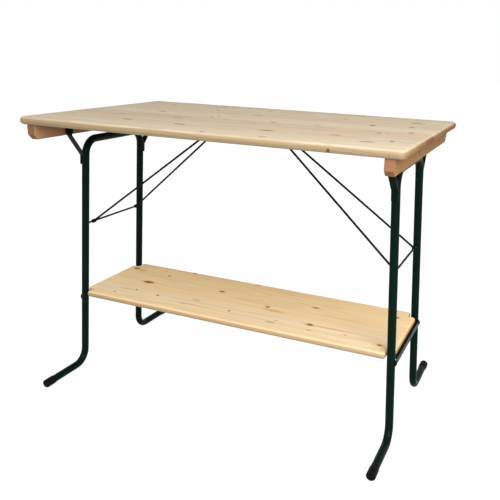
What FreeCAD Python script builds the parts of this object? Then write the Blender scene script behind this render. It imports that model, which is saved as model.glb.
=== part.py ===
import FreeCAD, Part
import Sketcher
import math
import os

# Bar table: a glued wooden top on two hinged steel frames, with a loose shelf between the frames.
# Lengths are in millimetres and angles in degrees. The origin is on the floor under the middle of
# the top. +X runs along the top, +Y across it and +Z up. The left frame is at -X, the front at -Y.

Vector = FreeCAD.Vector
Rotation = FreeCAD.Rotation
Placement = FreeCAD.Placement

DIMENSIONS = {
    # Table top
    "table_length": 1422,
    "table_width": 910,
    "table_height": 1100,
    "top_thickness": 28,
    "top_edge_round": 13,
    "top_corner_round": 28,
    "board_width": 137,
    # Cleats under the top
    "cleat_length": 884,
    "cleat_width": 31,
    "cleat_height": 54,
    "cleat_chamfer": 17,
    "cleat_edge_round": 3,
    "cleat_offset": 660.5,
    "cleat_recess_radius": 5.2,
    "cleat_recess_depth": 3.5,
    # Bent leg tubes, in the leaning plane of each frame
    "tube_radius": 15,
    "tube_wall": 2,
    "leg_lean": 3.562,
    "leg_foot_x": 688,
    "leg_foot_y": 203.1,
    "leg_inward_per_length": 0.01735,
    "cross_bar_height": 994,
    "bend_radius": 60,
    "foot_reach": 452,
    # End caps on the feet
    "cap_radius": 17,
    "cap_bore_radius": 15.05,
    "cap_length": 48,
    "cap_end": 4,
    "cap_round": 7,
    # Hinge arms welded to the legs
    "pivot_height": 1036,
    "arm_width": 24,
    "arm_thickness": 4,
    "arm_low": 898,
    "arm_kink_low": 935,
    "arm_kink_high": 1023,
    "arm_weld_y": 202.65,
    "arm_pivot_y": 279,
    "arm_end_round": 11.9,
    "arm_hole_radius": 4.05,
    # Hinge brackets on the cleats
    "bracket_plate": 4,
    "bracket_length": 40,
    "bracket_height": 20,
    "bracket_overhang": 11,
    "bracket_round": 9.5,
    "bracket_gap": 0.3,
    "bracket_hole_radius": 4.1,
    "bracket_screw_y": 256,
    "bracket_screw_spread": 9,
    # Stay rods, stays and their clips
    "rod_radius": 4,
    "rod_height": 646,
    "stay_radius": 4,
    "stay_shift": 14,
    "stay_eye_y": 152,
    "stay_eye_radius": 8,
    "stay_eye_length": 14,
    "stay_eye_bore": 4.05,
    "stay_end_x": 140,
    "stay_end_y": 24,
    "stay_end_height": 1056,
    "stay_bend_radius": 9,
    "clip_width": 20,
    "clip_plate": 3,
    "clip_leaf": 2.5,
    "clip_depth": 27,
    "clip_grip": 4.5,
    "clip_back": 7,
    "clip_slope": 0.795,
    "clip_outer": 34,
    "clip_inner": 26,
    "clip_screw_outer": 20,
    "clip_screw_inner": 14,
    # Shelf bars: steel angles bolted to the legs' outer sides, with a ledge between the legs
    "bar_length": 410,
    "bar_height": 20,
    "bar_ledge": 25,
    "bar_ledge_length": 356,
    "bar_plate": 3,
    "bar_gap": 0.05,
    "bar_bolt_drop": 10.5,
    "bolt_hole_radius": 4.1,
    # Shelf
    "shelf_top": 352,
    "shelf_thickness": 25,
    "shelf_wide_x": 648,
    "shelf_wide_y": 213,
    "shelf_tongue_x": 677,
    "shelf_tongue_y": 168,
    "shelf_tongue_round": 15,
    "shelf_corner_round": 12,
    "shelf_notch_round": 5,
    "shelf_edge_round": 11,
    # Fasteners
    "bolt_radius": 4,
    "bolt_head_corner": 7.5,
    "bolt_head_height": 5.3,
    "nut_height": 6.5,
    "nut_bore_radius": 4.05,
    "hinge_bolt_length": 17,
    "dome_radius": 7.5,
    "dome_tip_radius": 4.5,
    "dome_height": 4,
    "shelf_bolt_length": 16,
    "screw_radius": 2,
    "screw_hole_radius": 2.05,
    "screw_head_radius": 4.5,
    "screw_head_height": 3,
    "cleat_screw_length": 66,
    "bracket_screw_length": 18,
    "clip_screw_length": 15,
}

CLEAT_SCREW_Y = (-386, -205, -112, 24, 162, 298, 411)

doc = FreeCAD.newDocument("bar_table")
sheet = doc.addObject("Spreadsheet::Sheet", "Sheet")
for row, (alias, size) in enumerate(DIMENSIONS.items(), start=1):
    sheet.set(f"A{row}", alias)
    sheet.set(f"B{row}", str(size))
    sheet.setAlias(f"B{row}", alias)
doc.recompute()

pieces = []


def value(alias):
    """Number held by a sheet cell."""
    return float(sheet.get(alias))


def new_body(label):
    body = doc.addObject("PartDesign::Body", label)
    body.Label = label
    return body


def attached_sketch(body, plane_name, name):
    """Empty sketch on one of the body's origin planes."""
    sketch = body.newObject("Sketcher::SketchObject", f"{body.Label}_{name}")
    plane = next(item for item in body.Origin.OriginFeatures if item.Role == plane_name)
    sketch.AttachmentSupport = [(plane, "")]
    sketch.MapMode = "FlatFace"
    return sketch


def pin_point(sketch, geometry, point, start, across, up):
    """Tie a sketch point to the origin with two distances driven by expressions."""
    for kind, begin, text in (("DistanceX", start.x, across), ("DistanceY", start.y, up)):
        number = sketch.addConstraint(Sketcher.Constraint(kind, -1, 1, geometry, point, begin))
        sketch.setExpression(f"Constraints[{number}]", text)


def polygon_sketch(body, plane_name, corners, name="outline"):
    """Closed polygon whose corners are pairs of expressions."""
    sketch = attached_sketch(body, plane_name, name)
    count = len(corners)
    turn = 2 * math.pi / count
    starts = [Vector(100 * math.cos(turn * k), 100 * math.sin(turn * k), 0) for k in range(count)]
    for k in range(count):
        sketch.addGeometry(Part.LineSegment(starts[k], starts[(k + 1) % count]), False)
    for k in range(count):
        sketch.addConstraint(Sketcher.Constraint("Coincident", k, 2, (k + 1) % count, 1))
    for k, (across, up) in enumerate(corners):
        pin_point(sketch, k, 1, starts[k], across, up)
    return sketch


def circle_sketch(body, plane_name, centres, radius, name):
    """Circles of one radius about centres given as pairs of expressions."""
    sketch = attached_sketch(body, plane_name, name)
    for k, (across, up) in enumerate(centres):
        start = Vector(30 * (k + 1), 20, 0)
        sketch.addGeometry(Part.Circle(start, Vector(0, 0, 1), 2), False)
        number = sketch.addConstraint(Sketcher.Constraint("Radius", k, 2.0))
        sketch.setExpression(f"Constraints[{number}]", radius)
        pin_point(sketch, k, 3, start, across, up)
    return sketch


def pad(body, sketch, length, symmetric=True):
    feature = body.newObject("PartDesign::Pad", f"{body.Label}_pad")
    feature.Profile = sketch
    feature.setExpression("Length", length)
    if symmetric:
        feature.SideType = "Symmetric"
    doc.recompute()
    return feature


def drill(body, sketch, depth=None, towards_normal=False):
    """Cut a sketch's circles, right through or to a depth on one side of the sketch."""
    before = body.Shape.Volume
    feature = body.newObject("PartDesign::Pocket", f"{body.Label}_holes")
    feature.Profile = sketch
    if depth is None:
        feature.Type = "ThroughAll"
        feature.SideType = "Symmetric"
    else:
        feature.Type = "Length"
        feature.setExpression("Length", depth)
        feature.Reversed = towards_normal
    doc.recompute()
    if body.Shape.Volume > before - 1:
        raise RuntimeError(f"{body.Label}: the holes removed nothing")
    return feature


def edge_names(shape, wanted):
    return [f"Edge{k}" for k, edge in enumerate(shape.Edges, start=1) if wanted(edge)]


def round_edges(body, radius, wanted):
    """Fillet the body's edges that pass a test."""
    base = body.Tip
    feature = body.newObject("PartDesign::Fillet", f"{body.Label}_round")
    feature.Base = (base, edge_names(base.Shape, wanted))
    feature.setExpression("Radius", radius)
    doc.recompute()
    return feature


def runs_along(edge, axis):
    """True for a straight edge along the axis numbered 0, 1 or 2."""
    if len(edge.Vertexes) != 2:
        return False
    step = edge.Vertexes[1].Point - edge.Vertexes[0].Point
    return abs(abs(step[axis]) - step.Length) < 0.001


def lies_at(edge, axis, level):
    return all(abs(vertex.Point[axis] - level) < 0.001 for vertex in edge.Vertexes)


def keep(item, placement=None):
    """Register a finished piece under its label."""
    if placement is not None:
        item.Placement = placement
    pieces.append(item)
    return item


def sliced_boards(panel, prefix, joints, low, height):
    """Cut a finished panel along X into glued boards that meet at the given joints."""
    for number, (near, far) in enumerate(zip(joints, joints[1:]), start=1):
        cutter = doc.addObject("Part::Box", f"{prefix}_cutter_{number}")
        cutter.setExpression("Length", "Sheet.table_length + 40")
        cutter.setExpression("Width", f"({far}) - ({near})")
        cutter.setExpression("Height", f"{height} + 40")
        cutter.setExpression("Placement.Base.x", "-Sheet.table_length / 2 - 20")
        cutter.setExpression("Placement.Base.y", near)
        cutter.setExpression("Placement.Base.z", f"{low} - 20")
        board = doc.addObject("Part::Common", f"{prefix}_{number}")
        board.Label = f"{prefix}_{number}"
        board.Base = panel
        board.Tool = cutter
        keep(board)


def fastener(name, head, head_height, shank_length, shank_radius):
    """Head below the seat, shank above it along +Z."""
    head.setExpression("Height", head_height)
    head.setExpression("Placement.Base.z", f"-{head_height}")
    shank = doc.addObject("Part::Cylinder", f"{name}_shank")
    shank.setExpression("Radius", shank_radius)
    shank.setExpression("Height", shank_length)
    whole = doc.addObject("Part::Fuse", name)
    whole.Base = head
    whole.Tool = shank
    return whole


def hex_bolt(name, length):
    head = doc.addObject("Part::Prism", f"{name}_head")
    head.Polygon = 6
    head.setExpression("Circumradius", "Sheet.bolt_head_corner")
    return fastener(name, head, "Sheet.bolt_head_height", length, "Sheet.bolt_radius")


def domed_bolt(name, length):
    head = doc.addObject("Part::Cone", f"{name}_head")
    head.setExpression("Radius1", "Sheet.dome_tip_radius")
    head.setExpression("Radius2", "Sheet.dome_radius")
    return fastener(name, head, "Sheet.dome_height", length, "Sheet.bolt_radius")


def wood_screw(name, length):
    head = doc.addObject("Part::Cylinder", f"{name}_head")
    head.setExpression("Radius", "Sheet.screw_head_radius")
    return fastener(name, head, "Sheet.screw_head_height", length, "Sheet.screw_radius")


def hex_nut(name):
    blank = doc.addObject("Part::Prism", f"{name}_blank")
    blank.Polygon = 6
    blank.setExpression("Circumradius", "Sheet.bolt_head_corner")
    blank.setExpression("Height", "Sheet.nut_height")
    bore = doc.addObject("Part::Cylinder", f"{name}_bore")
    bore.setExpression("Radius", "Sheet.nut_bore_radius")
    bore.setExpression("Height", "Sheet.nut_height + 2")
    bore.setExpression("Placement.Base.z", "-1")
    whole = doc.addObject("Part::Cut", name)
    whole.Base = blank
    whole.Tool = bore
    return whole


def group(label, members):
    """Identical fasteners in one node, each still a solid of its own."""
    holder = doc.addObject("Part::Compound", label)
    holder.Label = label
    holder.Links = members
    keep(holder)


def rounded_wire(points, radius):
    """Straight runs joined by tangent arcs of one radius."""
    edges = []
    start = points[0]
    for before, corner, after in zip(points, points[1:], points[2:]):
        back = (before - corner).normalize()
        ahead = (after - corner).normalize()
        half = back.getAngle(ahead) / 2
        enter = corner + back * (radius / math.tan(half))
        leave = corner + ahead * (radius / math.tan(half))
        inward = (back + ahead).normalize()
        middle = corner + inward * (radius / math.sin(half) - radius)
        edges.append(Part.LineSegment(start, enter).toShape())
        edges.append(Part.Arc(enter, middle, leave).toShape())
        start = leave
    edges.append(Part.LineSegment(start, points[-1]).toShape())
    return Part.Wire(edges)


def swept_round(wire, radius):
    first = wire.Edges[0]
    begin = first.valueAt(first.FirstParameter)
    heading = first.tangentAt(first.FirstParameter)
    circle = Part.Wire([Part.Circle(begin, heading, radius).toShape()])
    return wire.makePipeShell([circle], True, False)


def leg_y(height):
    """Distance of a leg's axis from the middle, at a height measured along the frame."""
    return value("leg_foot_y") - value("leg_inward_per_length") * height


HALF_TURN = Placement(Vector(0, 0, 0), Rotation(Vector(0, 0, 1), 180))
UP_TO_PLUS_Y = Rotation(Vector(1, 0, 0), -90)
UP_TO_MINUS_Y = Rotation(Vector(1, 0, 0), 90)
UP_TO_PLUS_X = Rotation(Vector(0, 1, 0), 90)

LEAN = math.radians(value("leg_lean"))
UNDERSIDE = value("table_height") - value("top_thickness")
PIVOT_X = value("leg_foot_x") - value("pivot_height") * math.sin(LEAN)
PIVOT_Z = value("pivot_height") * math.cos(LEAN)
FOOT_HEIGHT = value("cap_radius") / math.cos(LEAN)
BAR_OUT = value("tube_radius") + value("bar_gap") + value("bar_plate")
SHELF_UNDERSIDE = value("shelf_top") - value("shelf_thickness")
# The ledge is square to the leaning legs, so the shelf bears on it where the tongue's flat underside ends
BEARING_X = value("shelf_tongue_x") - value("shelf_edge_round")
BEARING_Z = SHELF_UNDERSIDE - value("bar_gap")
BAR_TOP = (value("leg_foot_x") - BEARING_X) * math.sin(LEAN) + BEARING_Z * math.cos(LEAN)
BOLT_HEIGHT = BAR_TOP - value("bar_bolt_drop")
BOLT_Y = leg_y(BOLT_HEIGHT)

# Frame placements: local X points inboard, local Z runs up along the leaning legs
LEFT_FRAME = Placement(Vector(-value("leg_foot_x"), 0, 0), Rotation(Vector(0, 1, 0), value("leg_lean")))
SIDES = {
    "left": {"frame": LEFT_FRAME, "half": Placement(), "front": -1},
    "right": {"frame": HALF_TURN.multiply(LEFT_FRAME), "half": HALF_TURN, "front": 1},
}

# Table top, rounded and drilled as one panel, then cut into its boards
top_panel = new_body("top_panel")
half_length = "Sheet.table_length / 2"
half_width = "Sheet.table_width / 2"
outline = polygon_sketch(top_panel, "XY_Plane", [
    (f"-{half_length}", f"-{half_width}"),
    (half_length, f"-{half_width}"),
    (half_length, half_width),
    (f"-{half_length}", half_width),
])
pad(top_panel, outline, "Sheet.top_thickness", symmetric=False)
screw_places = []
for sign, clip_y in (("-", "Sheet.stay_shift"), ("", "-Sheet.stay_shift")):
    for y in CLEAT_SCREW_Y:
        screw_places.append((f"{sign}Sheet.cleat_offset", str(y)))
    screw_places.append((f"{sign}(Sheet.stay_end_x + Sheet.clip_screw_outer)", clip_y))
    screw_places.append((f"{sign}(Sheet.stay_end_x - Sheet.clip_screw_inner)", clip_y))
pilot_holes = circle_sketch(top_panel, "XY_Plane", screw_places, "Sheet.screw_hole_radius", "pilots")
drill(top_panel, pilot_holes, "16", towards_normal=True)
round_edges(top_panel, "Sheet.top_corner_round",
            lambda edge: runs_along(edge, 2) and abs(edge.Vertexes[0].X) > 700)
rim_levels = (0, value("top_thickness"))
round_edges(top_panel, "Sheet.top_edge_round",
            lambda edge: any(lies_at(edge, 2, level) for level in rim_levels)
            and edge.BoundBox.DiagonalLength > 10)
top_panel.Placement = Placement(Vector(0, 0, UNDERSIDE), Rotation())
joints = ["-Sheet.table_width / 2 - 20"]
joints += [f"{number} * Sheet.board_width - Sheet.table_width / 2" for number in range(1, 7)]
joints += ["Sheet.table_width / 2 + 20"]
sliced_boards(top_panel, "top_board", joints, "Sheet.table_height - Sheet.top_thickness",
              "Sheet.top_thickness")

# Cleats, with chamfered lower ends, screw holes up into the top and holes for the brackets
for side, sign in (("left", -1), ("right", 1)):
    cleat = new_body(f"{side}_cleat")
    end = "Sheet.cleat_length / 2"
    outline = polygon_sketch(cleat, "YZ_Plane", [
        (f"-{end}", "0"),
        (f"-{end}", "Sheet.cleat_chamfer - Sheet.cleat_height"),
        (f"Sheet.cleat_chamfer - {end}", "-Sheet.cleat_height"),
        (f"{end} - Sheet.cleat_chamfer", "-Sheet.cleat_height"),
        (end, "Sheet.cleat_chamfer - Sheet.cleat_height"),
        (end, "0"),
    ])
    pad(cleat, outline, "Sheet.cleat_width")
    round_edges(cleat, "Sheet.cleat_edge_round",
                lambda edge: abs(edge.BoundBox.ZMax) > 1 and abs(edge.BoundBox.XLength) < 0.001)
    places = [("0", str(y)) for y in CLEAT_SCREW_Y]
    drill(cleat, circle_sketch(cleat, "XY_Plane", places, "Sheet.screw_hole_radius", "shanks"))
    recess = circle_sketch(cleat, "XY_Plane", places, "Sheet.cleat_recess_radius", "recess")
    recess.setExpression("AttachmentOffset.Base.z", "-Sheet.cleat_height")
    drill(cleat, recess, "Sheet.cleat_recess_depth", towards_normal=True)
    level = PIVOT_Z - UNDERSIDE
    places = []
    for edge_sign in ("-", ""):
        for spread in ("-", "+"):
            places.append((f"{edge_sign}(Sheet.bracket_screw_y {spread} Sheet.bracket_screw_spread)",
                           str(level)))
    pilots = circle_sketch(cleat, "YZ_Plane", places, "Sheet.screw_hole_radius", "pilots")
    drill(cleat, pilots, "Sheet.cleat_width / 2 + 1", towards_normal=(side == "left"))
    keep(cleat, Placement(Vector(sign * value("cleat_offset"), 0, UNDERSIDE), Rotation()))

cleat_screws = []
seat = UNDERSIDE - value("cleat_height") + value("cleat_recess_depth")
for side, sign in (("left", -1), ("right", 1)):
    for number, y in enumerate(CLEAT_SCREW_Y, start=1):
        screw = wood_screw(f"{side}_cleat_screw_{number}", "Sheet.cleat_screw_length - 5")
        screw.Placement = Placement(Vector(sign * value("cleat_offset"), y, seat), Rotation())
        cleat_screws.append(screw)
group("cleat_screws", cleat_screws)

# Hinge brackets: a plate on the cleat and an ear that carries the hinge bolt
bracket_screws = []
hinge_bolts = []
hinge_nuts = []
cleat_face = value("cleat_offset") - value("cleat_width") / 2
ear_outer = value("arm_pivot_y") - value("bracket_gap")
ear_inner = ear_outer - value("bracket_plate")
arm_outer = value("arm_pivot_y") + value("arm_thickness") + value("bracket_gap")
for side in SIDES:
    for end in ("front", "back"):
        sign = SIDES[side]["front"] if end == "front" else -SIDES[side]["front"]
        bracket = new_body(f"{side}_{end}_bracket")
        reach = f"{cleat_face - PIVOT_X} + Sheet.bracket_overhang"
        far = f"{sign} * (Sheet.arm_pivot_y - Sheet.bracket_gap)"
        near = f"{sign} * (Sheet.arm_pivot_y - Sheet.bracket_gap - Sheet.bracket_plate)"
        tail = f"{sign} * (Sheet.arm_pivot_y - Sheet.bracket_gap - Sheet.bracket_length)"
        outline = polygon_sketch(bracket, "XY_Plane", [
            ("0", tail),
            ("Sheet.bracket_plate", tail),
            ("Sheet.bracket_plate", near),
            (reach, near),
            (reach, far),
            ("0", far),
        ])
        pad(bracket, outline, "Sheet.bracket_height")
        round_edges(bracket, "Sheet.bracket_round",
                    lambda edge: runs_along(edge, 1) and edge.BoundBox.XMin > 20)
        pivot = [(f"{cleat_face - PIVOT_X}", "0")]
        drill(bracket, circle_sketch(bracket, "XZ_Plane", pivot, "Sheet.bracket_hole_radius", "pivot"))
        places = [(f"{sign} * (Sheet.bracket_screw_y {spread} Sheet.bracket_screw_spread)", "0")
                  for spread in ("-", "+")]
        drill(bracket, circle_sketch(bracket, "YZ_Plane", places, "Sheet.screw_hole_radius", "screws"))
        half = SIDES[side]["half"]
        keep(bracket, half.multiply(Placement(Vector(-cleat_face, 0, PIVOT_Z), Rotation())))

        for number, spread in ((1, -1), (2, 1)):
            screw = wood_screw(f"{side}_{end}_bracket_screw_{number}", "Sheet.bracket_screw_length")
            screw_y = value("bracket_screw_y") + spread * value("bracket_screw_spread")
            place = Vector(-cleat_face + value("bracket_plate"), sign * screw_y, PIVOT_Z)
            screw.Placement = half.multiply(Placement(place, UP_TO_PLUS_X.inverted()))
            bracket_screws.append(screw)
        inward = UP_TO_PLUS_Y if sign < 0 else UP_TO_MINUS_Y
        bolt = hex_bolt(f"{side}_{end}_hinge_bolt", "Sheet.hinge_bolt_length")
        bolt.Placement = half.multiply(Placement(Vector(-PIVOT_X, sign * arm_outer, PIVOT_Z), inward))
        hinge_bolts.append(bolt)
        nut = hex_nut(f"{side}_{end}_hinge_nut")
        nut.Placement = half.multiply(Placement(Vector(-PIVOT_X, sign * ear_inner, PIVOT_Z), inward))
        hinge_nuts.append(nut)
group("bracket_screws", bracket_screws)
group("hinge_bolts", hinge_bolts)
group("hinge_nuts", hinge_nuts)

# Spring clips that hold the stays' ends under the top
clip_screws = []
for side in SIDES:
    clip = new_body(f"{side}_stay_clip")
    drop = UNDERSIDE - value("stay_end_height")
    grip = "Sheet.clip_grip / cos(atan(Sheet.clip_slope))"
    skin = "Sheet.clip_leaf / cos(atan(Sheet.clip_slope))"
    outline = polygon_sketch(clip, "XZ_Plane", [
        ("-Sheet.clip_outer", "0"),
        ("Sheet.clip_inner", "0"),
        ("Sheet.clip_inner", "-Sheet.clip_plate"),
        (f"Sheet.clip_slope * (Sheet.clip_plate - {drop}) + {grip} + {skin}", "-Sheet.clip_plate"),
        (f"Sheet.clip_slope * (Sheet.clip_depth - {drop}) + {grip} + {skin}", "-Sheet.clip_depth"),
        (f"Sheet.clip_slope * (Sheet.clip_depth - {drop}) + {grip}", "-Sheet.clip_depth"),
        (f"Sheet.clip_slope * (Sheet.clip_back - {drop}) + {grip}", "-Sheet.clip_back"),
        ("-Sheet.clip_grip", "-Sheet.clip_back"),
        ("-Sheet.clip_grip", "-Sheet.clip_depth"),
        ("-Sheet.clip_grip - Sheet.clip_leaf", "-Sheet.clip_depth"),
        ("-Sheet.clip_grip - Sheet.clip_leaf", "-Sheet.clip_plate"),
        ("-Sheet.clip_outer", "-Sheet.clip_plate"),
    ])
    pad(clip, outline, "Sheet.clip_width")
    places = [("-Sheet.clip_screw_outer", "0"), ("Sheet.clip_screw_inner", "0")]
    drill(clip, circle_sketch(clip, "XY_Plane", places, "Sheet.screw_hole_radius", "screws"),
          "Sheet.clip_plate + 1")
    half = SIDES[side]["half"]
    clip_place = Vector(-value("stay_end_x"), value("stay_shift"), UNDERSIDE)
    keep(clip, half.multiply(Placement(clip_place, Rotation())))
    for number, offset in ((1, -value("clip_screw_outer")), (2, value("clip_screw_inner"))):
        screw = wood_screw(f"{side}_clip_screw_{number}", "Sheet.clip_screw_length")
        place = clip_place + Vector(offset, 0, -value("clip_plate"))
        screw.Placement = half.multiply(Placement(place, Rotation()))
        clip_screws.append(screw)
group("clip_screws", clip_screws)

# Steel frames: tube, arms, caps, rod and shelf bar, all in the leaning plane of the frame
for side in SIDES:
    frame = SIDES[side]["frame"]
    foot_end = value("foot_reach") - value("cap_end") - 0.5
    low_y = leg_y(FOOT_HEIGHT)
    high_y = leg_y(value("cross_bar_height"))
    corners = [
        Vector(0, -foot_end, FOOT_HEIGHT),
        Vector(0, -low_y, FOOT_HEIGHT),
        Vector(0, -high_y, value("cross_bar_height")),
        Vector(0, high_y, value("cross_bar_height")),
        Vector(0, low_y, FOOT_HEIGHT),
        Vector(0, foot_end, FOOT_HEIGHT),
    ]
    path = rounded_wire(corners, value("bend_radius"))
    tube_shape = swept_round(path, value("tube_radius"))
    tube_shape = tube_shape.cut(swept_round(path, value("tube_radius") - value("tube_wall")))
    for y in (-BOLT_Y, BOLT_Y):
        outside = Vector(-2 * value("tube_radius"), y, BOLT_HEIGHT)
        hole = Part.makeCylinder(value("bolt_hole_radius"), -outside.x, outside, Vector(1, 0, 0))
        tube_shape = tube_shape.cut(hole)
    tube = doc.addObject("Part::Feature", f"{side}_leg_tube")
    tube.Label = f"{side}_leg_tube"
    tube.Shape = tube_shape
    keep(tube, frame)

    bend = ("Sheet.arm_thickness * tan(atan((Sheet.arm_pivot_y - Sheet.arm_weld_y)"
            " / (Sheet.arm_kink_high - Sheet.arm_kink_low)) / 2)")
    for end in ("front", "back"):
        sign = SIDES[side]["front"] if end == "front" else -SIDES[side]["front"]
        arm = new_body(f"{side}_{end}_arm")
        tip = "Sheet.pivot_height + Sheet.arm_width / 2"
        weld_outer = f"{sign} * (Sheet.arm_weld_y + Sheet.arm_thickness)"
        pivot_outer = f"{sign} * (Sheet.arm_pivot_y + Sheet.arm_thickness)"
        outline = polygon_sketch(arm, "YZ_Plane", [
            (f"{sign} * Sheet.arm_weld_y", "Sheet.arm_low"),
            (f"{sign} * Sheet.arm_weld_y", "Sheet.arm_kink_low"),
            (f"{sign} * Sheet.arm_pivot_y", "Sheet.arm_kink_high"),
            (f"{sign} * Sheet.arm_pivot_y", tip),
            (pivot_outer, tip),
            (pivot_outer, f"Sheet.arm_kink_high - {bend}"),
            (weld_outer, f"Sheet.arm_kink_low - {bend}"),
            (weld_outer, "Sheet.arm_low"),
        ])
        pad(arm, outline, "Sheet.arm_width")
        round_edges(arm, "Sheet.arm_end_round",
                    lambda edge: runs_along(edge, 1) and edge.BoundBox.ZMin > value("pivot_height"))
        pivot = [("0", "Sheet.pivot_height")]
        drill(arm, circle_sketch(arm, "XZ_Plane", pivot, "Sheet.arm_hole_radius", "pivot"))
        keep(arm, frame)

        cap = new_body(f"{side}_{end}_cap")
        outline = polygon_sketch(cap, "XZ_Plane", [
            ("Sheet.cap_bore_radius", "0"),
            ("Sheet.cap_radius", "0"),
            ("Sheet.cap_radius", "Sheet.cap_length"),
            ("0", "Sheet.cap_length"),
            ("0", "Sheet.cap_length - Sheet.cap_end"),
            ("Sheet.cap_bore_radius", "Sheet.cap_length - Sheet.cap_end"),
        ])
        turned = cap.newObject("PartDesign::Revolution", f"{cap.Label}_turned")
        turned.Profile = outline
        turned.ReferenceAxis = (outline, ["V_Axis"])
        turned.Angle = 360
        doc.recompute()
        round_edges(cap, "Sheet.cap_round",
                    lambda edge: lies_at(edge, 2, value("cap_length")) and edge.BoundBox.XLength > 20)
        outward = UP_TO_MINUS_Y if sign < 0 else UP_TO_PLUS_Y
        mouth = sign * (value("foot_reach") - value("cap_length"))
        keep(cap, frame.multiply(Placement(Vector(0, mouth, FOOT_HEIGHT), outward)))

    rod = doc.addObject("Part::Cylinder", f"{side}_stay_rod")
    rod.Label = f"{side}_stay_rod"
    rod.setExpression("Radius", "Sheet.rod_radius")
    rod.setExpression("Height", "2 * (Sheet.leg_foot_y - Sheet.leg_inward_per_length"
                      " * (Sheet.rod_height + 5) - Sheet.tube_radius)")
    rod_half = leg_y(value("rod_height") + 5) - value("tube_radius")
    keep(rod, frame.multiply(Placement(Vector(0, -rod_half, value("rod_height")), UP_TO_PLUS_Y)))

    bar = new_body(f"{side}_shelf_bar")
    inner_face = "-Sheet.tube_radius - Sheet.bar_gap"
    outer_face = f"{inner_face} - Sheet.bar_plate"
    flange = polygon_sketch(bar, "XZ_Plane", [
        (inner_face, str(BAR_TOP)),
        (outer_face, str(BAR_TOP)),
        (outer_face, f"{BAR_TOP} - Sheet.bar_height"),
        (inner_face, f"{BAR_TOP} - Sheet.bar_height"),
    ], "flange")
    pad(bar, flange, "Sheet.bar_length")
    ledge = polygon_sketch(bar, "XZ_Plane", [
        (outer_face, str(BAR_TOP)),
        (outer_face, f"{BAR_TOP} - Sheet.bar_plate"),
        (f"{outer_face} + Sheet.bar_ledge", f"{BAR_TOP} - Sheet.bar_plate"),
        (f"{outer_face} + Sheet.bar_ledge", str(BAR_TOP)),
    ], "ledge")
    pad(bar, ledge, "Sheet.bar_ledge_length")
    places = [(str(-BOLT_Y), str(BOLT_HEIGHT)), (str(BOLT_Y), str(BOLT_HEIGHT))]
    drill(bar, circle_sketch(bar, "YZ_Plane", places, "Sheet.bolt_hole_radius", "bolts"))
    keep(bar, frame)

    shelf_bolts = []
    for number, y in ((1, -BOLT_Y), (2, BOLT_Y)):
        bolt = domed_bolt(f"{side}_shelf_bolt_{number}", "Sheet.shelf_bolt_length")
        bolt.Placement = frame.multiply(Placement(Vector(-BAR_OUT, y, BOLT_HEIGHT), UP_TO_PLUS_X))
        shelf_bolts.append(bolt)
    group(f"{side}_shelf_bolts", shelf_bolts)

# Wire stays: one bent wire with an eye at each end that turns on the rod
rod_x = value("leg_foot_x") - value("rod_height") * math.sin(LEAN)
rod_z = value("rod_height") * math.cos(LEAN)
for side in SIDES:
    ends = []
    for sign in (-1, 1):
        eye = Vector(-rod_x, value("stay_shift") + sign * value("stay_eye_y"), rod_z)
        apex = Vector(-value("stay_end_x"), value("stay_shift") + sign * value("stay_end_y"),
                      value("stay_end_height"))
        heading = (apex - eye).normalize()
        ends.append((eye, eye + heading * (value("stay_eye_radius") - 1.5), apex))
    corners = [ends[0][1], ends[0][2], ends[1][2], ends[1][1]]
    stay_shape = swept_round(rounded_wire(corners, value("stay_bend_radius")), value("stay_radius"))
    length = value("stay_eye_length")
    for eye, start, apex in ends:
        foot = eye - Vector(0, length / 2, 0)
        stay_shape = stay_shape.fuse(Part.makeCylinder(value("stay_eye_radius"), length, foot, Vector(0, 1, 0)))
    for eye, start, apex in ends:
        foot = eye - Vector(0, length, 0)
        bore = Part.makeCylinder(value("stay_eye_bore"), 2 * length, foot, Vector(0, 1, 0))
        stay_shape = stay_shape.cut(bore)
    stay = doc.addObject("Part::Feature", f"{side}_stay")
    stay.Label = f"{side}_stay"
    stay.Shape = stay_shape
    keep(stay, SIDES[side]["half"])

# Shelf: wide between the frames, with a tongue at each end that passes between the legs
shelf_panel = new_body("shelf_panel")
wide_x, wide_y = "Sheet.shelf_wide_x", "Sheet.shelf_wide_y"
tongue_x, tongue_y = "Sheet.shelf_tongue_x", "Sheet.shelf_tongue_y"
outline = polygon_sketch(shelf_panel, "XY_Plane", [
    (f"-{wide_x}", f"-{wide_y}"),
    (wide_x, f"-{wide_y}"),
    (wide_x, f"-{tongue_y}"),
    (tongue_x, f"-{tongue_y}"),
    (tongue_x, tongue_y),
    (wide_x, tongue_y),
    (wide_x, wide_y),
    (f"-{wide_x}", wide_y),
    (f"-{wide_x}", tongue_y),
    (f"-{tongue_x}", tongue_y),
    (f"-{tongue_x}", f"-{tongue_y}"),
    (f"-{wide_x}", f"-{tongue_y}"),
])
pad(shelf_panel, outline, "Sheet.shelf_thickness", symmetric=False)
tongue_end = value("shelf_tongue_x")
round_edges(shelf_panel, "Sheet.shelf_tongue_round",
            lambda edge: runs_along(edge, 2) and abs(abs(edge.Vertexes[0].X) - tongue_end) < 0.01)
round_edges(shelf_panel, "Sheet.shelf_corner_round",
            lambda edge: runs_along(edge, 2) and abs(abs(edge.Vertexes[0].Y) - value("shelf_wide_y")) < 0.01)
notch = Vector(value("shelf_wide_x"), value("shelf_tongue_y"), 0)
round_edges(shelf_panel, "Sheet.shelf_notch_round",
            lambda edge: runs_along(edge, 2) and abs(abs(edge.Vertexes[0].X) - notch.x) < 0.01
            and abs(abs(edge.Vertexes[0].Y) - notch.y) < 0.01)
rim_levels = (0, value("shelf_thickness"))
round_edges(shelf_panel, "Sheet.shelf_edge_round",
            lambda edge: any(lies_at(edge, 2, level) for level in rim_levels))
shelf_panel.Placement = Placement(Vector(0, 0, SHELF_UNDERSIDE), Rotation())
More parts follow.
